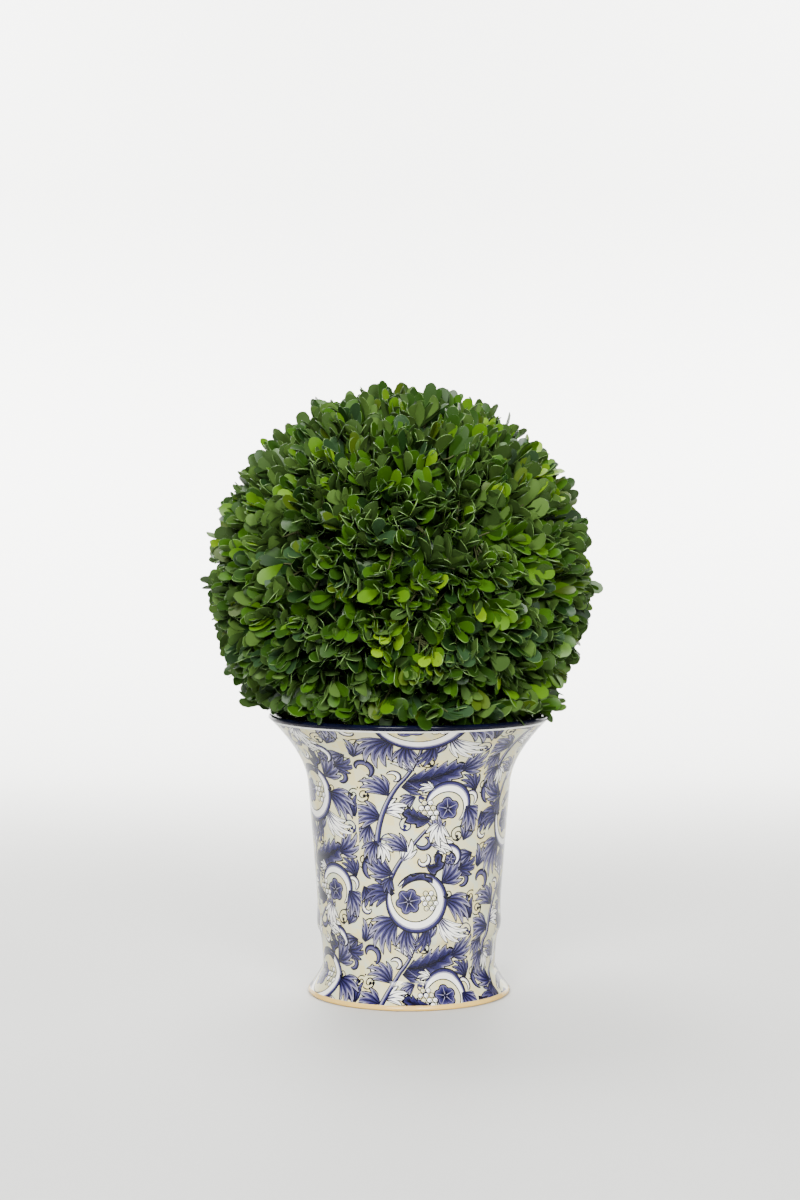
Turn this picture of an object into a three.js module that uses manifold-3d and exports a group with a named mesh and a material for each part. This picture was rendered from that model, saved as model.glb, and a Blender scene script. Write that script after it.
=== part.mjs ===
// A clipped ball of box standing in a footed trumpet vase.
// Millimetres, +Z up. The origin is the centre of the vase's flat underside.
import * as THREE from 'three';
import { mergeVertices } from 'three/addons/utils/BufferGeometryUtils.js';
import Module from 'manifold-3d';

const wasm = await Module();
wasm.setup();

// ---- Driving dimensions -------------------------------------------------------------------

// Vase, outside
const VASE_HEIGHT = 179;
const FOOT_RADIUS = 65.2;
const FOOT_EDGE = 1.6;          // rounding of the foot's lower edge
const WAIST_RADIUS = 55.6;
const WAIST_HEIGHT = 17;        // where the foot's flare runs out
const SHOULDER_RADIUS = 59.4;   // the soft shoulder that the barrel starts from
const SHOULDER_HEIGHT = 47;
const NECK_RADIUS = 65.2;       // top of the barrel, where the trumpet mouth starts
const NECK_HEIGHT = 136;
const RIM_RADIUS = 90.4;

// Vase, wall
const WALL = 4.8;
const LIP_THICKNESS = 3.6;
const FLOOR_HEIGHT = 11;
const FLOOR_CORNER = 9;

// Filling and stem
const FILL_TOP = 124;
const STEM_TOP = 222;
const STEM_RADIUS_LOW = 8.5;
const STEM_RADIUS_HIGH = 6.2;
const STEM_FLARE = 6.5;         // how far the root flare adds to the radius at the flat cut
const STEM_FLARE_HEIGHT = 14;

// Clipped ball
const BALL_RADIUS = 126;
const BALL_CENTRE = new THREE.Vector3(-5, 0, 265);
const BALL_DETAIL = 12;         // subdivisions of each edge of an icosahedron
const LUMP_COUNT = 240;
const LUMP_HEIGHT = 2;
const LUMP_SPREAD = 0.14;       // angular width of a lump, radians

// Fits and facets
const GAP = 0.4;                // clearance between touching pieces
const TURNS = 48;               // facets round the vase
const STEM_SIDES = 14;         // facets round the stem

// ---- Helpers ------------------------------------------------------------------------------

/** A repeatable stream of numbers from 0 to 1. */
function seededStream(seed) {
  let state = seed;
  return () => {
    state = (state * 1664525 + 1013904223) % 4294967296;
    return state / 4294967296;
  };
}

/** The points of a quadratic curve from a to b, pulled towards c, without its first point. */
function bend(a, c, b, steps) {
  const curve = new THREE.QuadraticBezierCurve(a, c, b);
  return curve.getPoints(steps).slice(1);
}

/** Turns a profile of [radius, height] vectors, both ends on the axis, about +Z. */
function turned(profile, sides) {
  const shape = new THREE.LatheGeometry(profile, sides);
  shape.rotateX(Math.PI / 2);
  return shape;
}

/** The same surface with nothing but its corners, each corner once. */
function welded(shape) {
  const bare = shape.clone();
  bare.deleteAttribute('normal');
  bare.deleteAttribute('uv');
  return mergeVertices(bare, 1e-4);
}

/** A manifold solid from a closed geometry. */
function solidOf(shape) {
  const merged = welded(shape);
  return new wasm.Manifold(new wasm.Mesh({
    numProp: 3,
    vertProperties: new Float32Array(merged.attributes.position.array),
    triVerts: new Uint32Array(merged.index.array),
  }));
}

/** A geometry from a manifold solid. */
function shapeOf(solid) {
  const mesh = solid.getMesh();
  const shape = new THREE.BufferGeometry();
  shape.setAttribute('position', new THREE.BufferAttribute(mesh.vertProperties, 3));
  shape.setIndex(new THREE.BufferAttribute(mesh.triVerts, 1));
  shape.computeVertexNormals();
  return shape;
}

/** A named mesh with its own plain material. */
function piece(name, shape, color, roughness) {
  const material = new THREE.MeshStandardMaterial({ color, roughness, metalness: 0 });
  const mesh = new THREE.Mesh(shape, material);
  mesh.name = name;
  return mesh;
}

// ---- Vase ---------------------------------------------------------------------------------

/** A point of a turned profile. */
const rz = (radius, height) => new THREE.Vector2(radius, height);

/** Outside of the vase from its underside's centre up to the rim's outer edge. */
function outsideProfile() {
  const footEdge = rz(FOOT_RADIUS, FOOT_EDGE);
  const waist = rz(WAIST_RADIUS, WAIST_HEIGHT);
  const underShoulder = rz(SHOULDER_RADIUS - 2, SHOULDER_HEIGHT - 8);
  const shoulder = rz(SHOULDER_RADIUS, SHOULDER_HEIGHT);
  const barrel = rz(SHOULDER_RADIUS - 0.2, SHOULDER_HEIGHT + 14);
  const neck = rz(NECK_RADIUS, NECK_HEIGHT);
  const barrelMiddle = rz((barrel.x + neck.x) / 2 - 0.3, (barrel.y + neck.y) / 2);
  const rim = rz(RIM_RADIUS, VASE_HEIGHT - 2);
  return [
    rz(0, 0),
    rz(FOOT_RADIUS - FOOT_EDGE, 0),
    ...bend(rz(FOOT_RADIUS - FOOT_EDGE, 0), rz(FOOT_RADIUS, 0), footEdge, 2),
    ...bend(footEdge, rz(WAIST_RADIUS + 3, WAIST_HEIGHT - 7), waist, 4),
    ...bend(waist, rz(WAIST_RADIUS - 0.1, WAIST_HEIGHT + 13), underShoulder, 3),
    ...bend(underShoulder, rz(SHOULDER_RADIUS + 0.1, SHOULDER_HEIGHT - 5.5), shoulder, 3),
    ...bend(shoulder, rz(SHOULDER_RADIUS - 0.4, SHOULDER_HEIGHT + 7), barrel, 2),
    ...bend(barrel, barrelMiddle, neck, 2),
    ...bend(neck, rz(NECK_RADIUS + 2.3, NECK_HEIGHT + 19), rim, 7),
  ];
}

/** Inside of the vase from the lip's inner edge down to the wall's foot, pulled in by a gap. */
function insideWall(gap) {
  const lip = rz(RIM_RADIUS - LIP_THICKNESS - gap, VASE_HEIGHT - 1.2);
  const neck = rz(NECK_RADIUS - WALL - gap, NECK_HEIGHT);
  const waist = rz(WAIST_RADIUS - WALL - gap, WAIST_HEIGHT + 17);
  const corner = rz(waist.x, FLOOR_HEIGHT + FLOOR_CORNER);
  return [
    lip,
    ...bend(lip, rz(NECK_RADIUS - WALL - gap + 2.5, NECK_HEIGHT + 21), neck, 7),
    waist,
    corner,
  ];
}

/** The rounded corner and flat middle of the vase's floor, raised by a gap. */
function insideFloor(gap) {
  const wall = rz(WAIST_RADIUS - WALL - gap, FLOOR_HEIGHT + FLOOR_CORNER);
  const flat = rz(WAIST_RADIUS - WALL - FLOOR_CORNER, FLOOR_HEIGHT + gap);
  return [...bend(wall, rz(wall.x, flat.y), flat, 4), rz(0, FLOOR_HEIGHT + gap)];
}

function vaseShape() {
  const lipTop = rz(RIM_RADIUS - LIP_THICKNESS / 2, VASE_HEIGHT);
  const outside = outsideProfile();
  const inside = [...insideWall(0), ...insideFloor(0)];
  const rim = outside.at(-1);
  const lip = [
    ...bend(rim, rz(RIM_RADIUS + 0.2, VASE_HEIGHT), lipTop, 2),
    ...bend(lipTop, rz(RIM_RADIUS - LIP_THICKNESS, VASE_HEIGHT), inside[0], 2).slice(0, -1),
  ];
  return turned([...outside, ...lip, ...inside], TURNS);
}

/** Height-to-radius of the inside wall between the waist and the neck. */
function insideRadiusAt(height) {
  const low = rz(WAIST_RADIUS - WALL, WAIST_HEIGHT + 17);
  const high = rz(NECK_RADIUS - WALL, NECK_HEIGHT);
  const share = (height - low.y) / (high.y - low.y);
  return THREE.MathUtils.lerp(low.x, high.x, share);
}

/** The plug that fills the vase from its floor to below the neck, with a flat top. */
function fillingShape() {
  const floor = insideFloor(GAP).reverse();
  const waist = rz(WAIST_RADIUS - WALL - GAP, WAIST_HEIGHT + 17);
  const top = rz(insideRadiusAt(FILL_TOP) - GAP, FILL_TOP);
  return turned([...floor, waist, top, rz(0, FILL_TOP)], TURNS);
}

// ---- Stem ---------------------------------------------------------------------------------

/** Radius of the stem at a share of its height: a straight taper plus a root flare. */
function stemRadius(height) {
  const base = FILL_TOP + GAP;
  const share = (height - base) / (STEM_TOP - base);
  const taper = THREE.MathUtils.lerp(STEM_RADIUS_LOW, STEM_RADIUS_HIGH, share);
  return taper + STEM_FLARE * Math.exp(-(height - base) / (STEM_FLARE_HEIGHT / 2));
}

/** The stem leans from the vase's axis to the ball's, with a slight bow across. */
function stemCentre(height) {
  const share = (height - FILL_TOP) / (STEM_TOP - FILL_TOP);
  return rz(BALL_CENTRE.x * share, 2.2 * Math.sin(Math.PI * share));
}

/** A stem from its flat cut to a rounded top, made thicker all round by a gap. */
function stemShape(gap, base) {
  const rows = 9;
  const profile = [rz(0, base), rz(stemRadius(FILL_TOP + GAP) + gap, base)];
  for (let row = 0; row <= rows; row += 1) {
    const height = THREE.MathUtils.lerp(FILL_TOP + GAP + 1, STEM_TOP - 4, (row / rows) ** 1.5);
    profile.push(rz(stemRadius(height) + gap, height));
  }
  profile.push(rz((STEM_RADIUS_HIGH + gap) * 0.72, STEM_TOP - 1.3 + gap));
  profile.push(rz(0, STEM_TOP + gap));
  const shape = turned(profile, STEM_SIDES);
  const place = shape.attributes.position;
  for (let i = 0; i < place.count; i += 1) {
    const centre = stemCentre(Math.max(place.getZ(i), FILL_TOP));
    place.setXY(i, place.getX(i) + centre.x, place.getY(i) + centre.y);
  }
  return shape;
}

// ---- Clipped ball -------------------------------------------------------------------------

/** Lumps spread evenly over the ball by a golden-angle spiral, each a little in or out. */
function lumpField() {
  const next = seededStream(20261);
  const golden = Math.PI * (3 - Math.sqrt(5));
  const lumps = [];
  for (let i = 0; i < LUMP_COUNT; i += 1) {
    const level = 1 - (2 * (i + 0.5)) / LUMP_COUNT;
    const ring = Math.sqrt(1 - level * level);
    const turn = golden * i + 0.6 * next();
    const towards = new THREE.Vector3(ring * Math.cos(turn), ring * Math.sin(turn), level);
    lumps.push({ towards, height: LUMP_HEIGHT * (2 * next() - 1) });
  }
  return lumps;
}

/** An uneven ball: each direction's radius is the clipped radius plus the lumps near it. */
function clippedBall() {
  const lumps = lumpField();
  const shape = welded(new THREE.IcosahedronGeometry(1, BALL_DETAIL));
  const place = shape.attributes.position;
  const towards = new THREE.Vector3();
  for (let i = 0; i < place.count; i += 1) {
    towards.fromBufferAttribute(place, i).normalize();
    let radius = BALL_RADIUS;
    for (const lump of lumps) {
      const angle = towards.angleTo(lump.towards);
      radius += lump.height * Math.exp(-((angle / LUMP_SPREAD) ** 2));
    }
    towards.multiplyScalar(radius).add(BALL_CENTRE);
    place.setXYZ(i, towards.x, towards.y, towards.z);
  }
  return shape;
}

/** Everything outside the vase's mouth and below the top of its lip, as a ring to cut away. */
function mouthCutter() {
  const wall = insideWall(GAP).filter((point) => point.y >= NECK_HEIGHT);
  const far = RIM_RADIUS + 60;
  const top = VASE_HEIGHT + GAP;
  const low = rz(far, NECK_HEIGHT);
  const neck = wall.at(-1);
  return turned([neck, low, rz(far, top), rz(wall[0].x, top), ...wall], TURNS);
}

/** The mass of leaves, cut to sit in the vase's mouth and bored for the stem. */
function foliageShape() {
  const ball = solidOf(clippedBall());
  const mouth = solidOf(mouthCutter());
  const bore = solidOf(stemShape(GAP, FILL_TOP - 20));
  return shapeOf(ball.subtract(mouth).subtract(bore));
}

// ---- Assembly -----------------------------------------------------------------------------

const topiary = new THREE.Group();
topiary.add(
  piece('vase', vaseShape(), 0xb9b8bd, 0.15),
  piece('filling', fillingShape(), 0x4a3c2c, 0.95),
  piece('stem', stemShape(0, FILL_TOP + GAP), 0x6b5a41, 0.85),
  piece('foliage_ball', foliageShape(), 0x3a5214, 0.6),
);

export default topiary;
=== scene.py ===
"""A clipped ball of box in a blue-and-white footed vase: the looks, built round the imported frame."""
import math

import bpy
import numpy as np
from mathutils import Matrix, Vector
from mathutils.geometry import delaunay_2d_cdt


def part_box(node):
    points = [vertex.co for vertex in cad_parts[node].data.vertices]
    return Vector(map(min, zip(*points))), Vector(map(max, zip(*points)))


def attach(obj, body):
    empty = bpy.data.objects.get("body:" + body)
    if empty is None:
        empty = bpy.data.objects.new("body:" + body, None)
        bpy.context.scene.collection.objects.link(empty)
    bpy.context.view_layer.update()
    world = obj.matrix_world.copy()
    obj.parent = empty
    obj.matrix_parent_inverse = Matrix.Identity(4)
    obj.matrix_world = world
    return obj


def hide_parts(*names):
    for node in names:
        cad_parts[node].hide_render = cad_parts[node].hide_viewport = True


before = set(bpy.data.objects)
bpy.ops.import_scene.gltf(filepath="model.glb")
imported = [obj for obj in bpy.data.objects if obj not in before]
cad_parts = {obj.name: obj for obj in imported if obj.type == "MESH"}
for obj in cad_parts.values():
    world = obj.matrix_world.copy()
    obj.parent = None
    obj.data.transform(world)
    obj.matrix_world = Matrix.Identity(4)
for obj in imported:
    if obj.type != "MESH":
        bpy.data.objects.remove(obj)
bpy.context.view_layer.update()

MM = 0.001
TAU = 2 * math.pi
SEED = 20261120


# ---- Places that come from the frame ---------------------------------------------------------

vase_low, vase_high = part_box("vase")
ball_low, ball_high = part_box("foliage_ball")
stem_low, stem_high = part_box("stem")
fill_low, fill_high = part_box("filling")

RIM_HEIGHT = vase_high.z / MM
RIM_RADIUS = (vase_high.x - vase_low.x) / 2 / MM
BALL_RADIUS = (ball_high.x - ball_low.x + ball_high.y - ball_low.y) / 4
BALL_CENTRE = np.array([(ball_low.x + ball_high.x) / 2, (ball_low.y + ball_high.y) / 2,
                        ball_high.z - BALL_RADIUS])


# ---- Small tools -----------------------------------------------------------------------------

def linear(hex_colour):
    """sRGB hex to linear RGB: c / 12.92 below 0.04045, else ((c + 0.055) / 1.055) ^ 2.4."""
    values = [int(hex_colour[i:i + 2], 16) / 255 for i in (1, 3, 5)]
    return [c / 12.92 if c <= 0.04045 else ((c + 0.055) / 1.055) ** 2.4 for c in values] + [1.0]


def add_node(tree, kind, settings=None, inputs=None, links=None):
    """Adds a node, sets its properties and socket values, and links its inputs to other sockets."""
    node = tree.nodes.new(kind)
    for name, value in (settings or {}).items():
        setattr(node, name, value)
    for name, value in (inputs or {}).items():
        node.inputs[name].default_value = value
    for name, socket in (links or {}).items():
        tree.links.new(socket, node.inputs[name])
    return node


def new_material(name, colour, roughness, ior=1.5, **extra):
    """A Principled material with plain values, to which nodes can be added."""
    material = bpy.data.materials.new(name)
    material.use_nodes = True
    shader = material.node_tree.nodes["Principled BSDF"]
    shader.inputs["Base Color"].default_value = linear(colour)
    shader.inputs["Roughness"].default_value = roughness
    shader.inputs["IOR"].default_value = ior
    for socket, value in extra.items():
        shader.inputs[socket.replace("_", " ")].default_value = value
    return material


def add_bump(material, height_socket, strength, depth):
    """Puts a height pattern on the shader's normal, depth metres from low to high."""
    tree = material.node_tree
    bump = add_node(tree, "ShaderNodeBump", inputs={"Strength": strength, "Distance": depth},
                    links={"Height": height_socket})
    tree.links.new(bump.outputs["Normal"], tree.nodes["Principled BSDF"].inputs["Normal"])


def object_noise(material, size, detail):
    """A noise on object coordinates with features about size metres across."""
    tree = material.node_tree
    place = add_node(tree, "ShaderNodeTexCoord")
    return add_node(tree, "ShaderNodeTexNoise", inputs={"Scale": 1 / size, "Detail": detail},
                    links={"Vector": place.outputs["Object"]})


def make_piece(name, points, faces, materials, tones=None, normals=None):
    """A mesh object from an N x 3 array of points and an M x 3 or M x 4 array of corner numbers."""
    mesh = bpy.data.meshes.new(name)
    corners = faces.shape[1]
    mesh.vertices.add(len(points))
    mesh.vertices.foreach_set("co", np.ascontiguousarray(points, np.float32).ravel())
    mesh.loops.add(faces.size)
    mesh.loops.foreach_set("vertex_index", np.ascontiguousarray(faces, np.int32).ravel())
    mesh.polygons.add(len(faces))
    mesh.polygons.foreach_set("loop_start", np.arange(0, faces.size, corners, dtype=np.int32))
    mesh.polygons.foreach_set("use_smooth", np.ones(len(faces), bool))
    for material in materials:
        mesh.materials.append(material)
    if tones is not None:
        mesh.polygons.foreach_set("material_index", np.ascontiguousarray(tones, np.int32))
    mesh.update(calc_edges=True)
    if normals is not None:
        mesh.normals_split_custom_set_from_vertices(normals)
    piece = bpy.data.objects.new(name, mesh)
    bpy.context.scene.collection.objects.link(piece)
    return piece


def place_piece(piece, slot, *nodes):
    """The piece rides on the one body and stands for its CAD nodes, which it hides. The slot is not used."""
    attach(piece, "root")
    if nodes:
        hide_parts(*nodes)


def grid_faces(rows, columns):
    """Two triangles for each cell of a grid of points stored row by row."""
    corner = np.arange(rows * columns).reshape(rows, columns)
    a, b = corner[:-1, :-1].ravel(), corner[:-1, 1:].ravel()
    c, d = corner[1:, 1:].ravel(), corner[1:, :-1].ravel()
    return np.concatenate([np.stack([a, b, c], 1), np.stack([a, c, d], 1)])


def welded(points, faces, tones, normals):
    """Points that lie within a micrometre become one, and triangles that lose a side go."""
    _, first, same = np.unique(np.round(points * 1e6).astype(np.int64), axis=0, return_index=True,
                               return_inverse=True)
    faces = same.reshape(-1)[faces]
    whole = (faces[:, 0] != faces[:, 1]) & (faces[:, 1] != faces[:, 2]) & (faces[:, 2] != faces[:, 0])
    return points[first], faces[whole], tones[whole], normals[first]


def closed_surface(grid):
    """A grid of points, in mm, as one closed surface: its last column lies on its first, and each of its end
    rows is one point."""
    points = grid.reshape(-1, 3) * MM
    faces = grid_faces(*grid.shape[:2])
    points, faces, _, _ = welded(points, faces, np.zeros(len(faces), int), points)
    return points, faces


# ---- Camera ----------------------------------------------------------------------------------

EYE_DISTANCE = 1.42
EYE_HEIGHT = 0.303
EYE_ASIDE = -0.0058
LOOK_DOWN = 2.07        # degrees
LENS = 66.4             # mm
SENSOR = 36             # mm along the picture's long side

camera_data = bpy.data.cameras.new("camera")
camera_data.lens = LENS
camera_data.sensor_width = SENSOR
camera = bpy.data.objects.new("camera", camera_data)
camera.location = (EYE_ASIDE, -EYE_DISTANCE, EYE_HEIGHT)
camera.rotation_euler = (math.radians(90 - LOOK_DOWN), 0, 0)
bpy.context.scene.collection.objects.link(camera)
bpy.context.scene.camera = camera


# ---- Vase: its turned profile ----------------------------------------------------------------

FOOT_RADIUS = 65.2
FOOT_EDGE = 1.6
WAIST_RADIUS, WAIST_HEIGHT = 55.6, 17
SHOULDER_RADIUS, SHOULDER_HEIGHT = 59.4, 47
NECK_RADIUS, NECK_HEIGHT = 65.2, 136
WALL = 4.8
LIP_THICKNESS = 3.6
FLOOR_HEIGHT, FLOOR_CORNER = 11, 9


def bend(a, c, b, count=14):
    """Quadratic curve a(1-t)^2 + 2ct(1-t) + bt^2 as count points, both ends included."""
    t = np.linspace(0, 1, count)[:, None]
    a, c, b = (np.array(p, float) for p in (a, c, b))
    return (1 - t) ** 2 * a + 2 * t * (1 - t) * c + t * t * b


def vase_profile():
    """Radius and height, in mm, from the underside's centre over the lip to the floor's centre."""
    edge = (FOOT_RADIUS, FOOT_EDGE)
    waist = (WAIST_RADIUS, WAIST_HEIGHT)
    under = (SHOULDER_RADIUS - 2, SHOULDER_HEIGHT - 8)
    shoulder = (SHOULDER_RADIUS, SHOULDER_HEIGHT)
    barrel = (SHOULDER_RADIUS - 0.2, SHOULDER_HEIGHT + 14)
    neck = (NECK_RADIUS, NECK_HEIGHT)
    middle = ((barrel[0] + neck[0]) / 2 - 0.3, (barrel[1] + neck[1]) / 2)
    rim = (RIM_RADIUS, RIM_HEIGHT - 2)
    top = (RIM_RADIUS - LIP_THICKNESS / 2, RIM_HEIGHT)
    lip = (RIM_RADIUS - LIP_THICKNESS, RIM_HEIGHT - 1.2)
    throat = (NECK_RADIUS - WALL, NECK_HEIGHT)
    inner_waist = (WAIST_RADIUS - WALL, WAIST_HEIGHT + 17)
    corner = (inner_waist[0], FLOOR_HEIGHT + FLOOR_CORNER)
    flat = (inner_waist[0] - FLOOR_CORNER, FLOOR_HEIGHT)
    runs = [
        bend((0, 0), (30, 0), (FOOT_RADIUS - FOOT_EDGE, 0), 9),
        bend((FOOT_RADIUS - FOOT_EDGE, 0), (FOOT_RADIUS, 0), edge, 6),
        bend(edge, (WAIST_RADIUS + 3, WAIST_HEIGHT - 7), waist),
        bend(waist, (WAIST_RADIUS - 0.1, WAIST_HEIGHT + 13), under),
        bend(under, (SHOULDER_RADIUS + 0.1, SHOULDER_HEIGHT - 5.5), shoulder),
        bend(shoulder, (SHOULDER_RADIUS - 0.4, SHOULDER_HEIGHT + 7), barrel),
        bend(barrel, middle, neck, 30),
        bend(neck, (NECK_RADIUS + 2.3, NECK_HEIGHT + 19), rim, 30),
        bend(rim, (RIM_RADIUS + 0.2, RIM_HEIGHT), top, 7),
        bend(top, (RIM_RADIUS - LIP_THICKNESS, RIM_HEIGHT), lip, 7),
        bend(lip, (NECK_RADIUS - WALL + 2.5, NECK_HEIGHT + 21), throat, 20),
        bend(throat, ((throat[0] + inner_waist[0]) / 2, 80), inner_waist, 12),
        bend(inner_waist, (inner_waist[0], 26), corner, 5),
        bend(corner, (corner[0], FLOOR_HEIGHT), flat, 8),
        bend(flat, (20, FLOOR_HEIGHT), (0, FLOOR_HEIGHT), 8),
    ]
    line = np.concatenate(runs)
    keep = np.r_[True, np.linalg.norm(np.diff(line, axis=0), axis=1) > 1e-6]
    return line[keep]


PROFILE = vase_profile()
RUN = np.r_[0, np.cumsum(np.linalg.norm(np.diff(PROFILE, axis=0), axis=1))]
TOP_ROW = int(np.argmax(PROFILE[:, 1]))
SLOPE_REACH = 0.7               # mm to either side over which the profile's slope is taken


def run_at(height):
    """How far along the profile its outside reaches a height, both in mm, once past the flat underside."""
    start = int(np.searchsorted(RUN, FOOT_RADIUS - 3))
    return float(np.interp(height, PROFILE[start:TOP_ROW + 1, 1], RUN[start:TOP_ROW + 1]))


def turned(along, angle):
    """Points (r sin a, -r cos a, z) at lengths along the profile and angles a from the front, and the outward
    normals there, each square to the profile's slope over a short stretch round its point."""
    radius = np.interp(along, RUN, PROFILE[:, 0])
    height = np.interp(along, RUN, PROFILE[:, 1])
    before = np.clip(along - SLOPE_REACH, 0, RUN[-1])
    after = np.clip(along + SLOPE_REACH, 0, RUN[-1])
    slope_r = np.interp(after, RUN, PROFILE[:, 0]) - np.interp(before, RUN, PROFILE[:, 0])
    slope_z = np.interp(after, RUN, PROFILE[:, 1]) - np.interp(before, RUN, PROFILE[:, 1])
    length = np.hypot(slope_r, slope_z) + 1e-9
    out, up = slope_z / length, -slope_r / length
    points = np.stack([radius * np.sin(angle), -radius * np.cos(angle), height], -1) * MM
    normals = np.stack([out * np.sin(angle), -out * np.cos(angle), up], -1)
    return points, normals


# ---- Vase: the scroll print --------------------------------------------------------------------

PANELS = 5                                   # sheets of print round the vase
PRINT_RADIUS = 61                            # mm, where the print keeps its own width
PANEL = TAU * PRINT_RADIUS / PANELS          # mm round the barrel
REPEAT = 119.0                               # mm up the vase
INK_LINE = 0.75                              # mm, the dark outline
PRINT_MARGIN = 0.12                          # mm left plain along a sheet's edges
SHORTEST_EDGE, MERGE_WITHIN = 0.02, 0.003    # mm, below which an edge goes and two corners become one
# The white tone is the print's white, and also the painted highlight band under the navy lip.
CREAM, WARM, COOL, WHITE_AND_LIP_HIGHLIGHT, LILAC, PERIWINKLE, MID, COBALT, INDIGO, INK, NAVY, STRAW, CLAY = range(13)


def spiral(centre, radius, start, sweep, end_radius=None, count=30):
    """Points at centre + r(cos a, sin a): a runs from start through sweep degrees, and r from radius
    to end_radius."""
    t = np.linspace(0, 1, count)
    a = np.radians(start + sweep * t)
    r = radius + ((radius if end_radius is None else end_radius) - radius) * t
    return np.array(centre, float) + np.stack([r * np.cos(a), r * np.sin(a)], 1)


def sides_of(path):
    """Unit tangent and left-hand normal of a path at each of its points."""
    along = np.gradient(path, axis=0)
    along /= np.linalg.norm(along, axis=1)[:, None] + 1e-9
    return along, np.stack([-along[:, 1], along[:, 0]], 1)


def ribbon(path, left, right):
    """Outline of a band: the path pushed left by one width, then back along it pushed right by the other."""
    _, normal = sides_of(path)
    left = np.broadcast_to(left, len(path))[:, None]
    right = np.broadcast_to(right, len(path))[:, None]
    return np.concatenate([path + normal * left, (path - normal * right)[::-1]])


def resampled(path, count):
    """The path again with count points, evenly spaced by number."""
    t, u = np.linspace(0, 1, len(path)), np.linspace(0, 1, count)
    return np.stack([np.interp(u, t, path[:, 0]), np.interp(u, t, path[:, 1])], 1)


LOBE_CREST = 0.72                            # how far along each lobe it is widest
LOBE_LEAN = 0.8                              # how far its points lean along the spine, times the half width


def lobed(path, width, lobes, share, inset, side):
    """Leaf outline round a spine. Half width = share w body (0.55 + 0.45 saw) - 1.5 inset: body swells early
    and runs to a point, saw climbs over 0.72 of each lobe and drops back, and every point leans along the
    spine with its half width. With side at 1 or -1 the leaf is full on that side only."""
    t = np.linspace(0, 1, len(path))
    body = (0.25 + np.sin(math.pi * t ** 0.7).clip(0) ** 0.7) / 1.25 * np.minimum(1, 6 * (1 - t)) ** 0.7
    phase = (lobes * t) % 1.0
    saw = np.where(phase < LOBE_CREST, phase / LOBE_CREST, (1 - phase) / (1 - LOBE_CREST)) ** 0.8
    half = (share * width * body * (0.55 + 0.45 * saw) - 1.5 * inset).clip(0)[:, None]
    along, normal = sides_of(path)
    left = path + normal * half * (1 if side >= 0 else 0.14) + along * half * LOBE_LEAN
    right = path - normal * half * (1 if side <= 0 else 0.14) + along * half * LOBE_LEAN
    return np.concatenate([left, right[::-1]])


# Shading of a leaf from its edge to its root: each tone with the share of the leaf it still covers.
BLUES = ((1.0, LILAC), (0.86, PERIWINKLE), (0.70, MID), (0.50, COBALT), (0.28, INDIGO))
DEEPS = ((1.0, PERIWINKLE), (0.86, MID), (0.68, COBALT), (0.42, INDIGO))
PALES = ((1.0, WHITE_AND_LIP_HIGHLIGHT), (0.55, LILAC), (0.34, PERIWINKLE), (0.19, COBALT))
RIBBON = (WHITE_AND_LIP_HIGHLIGHT, LILAC, MID, COBALT)
HOOK = (PERIWINKLE, MID, COBALT, INDIGO)
PALE_HOOK = (WHITE_AND_LIP_HIGHLIGHT, CREAM, LILAC, MID)


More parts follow.
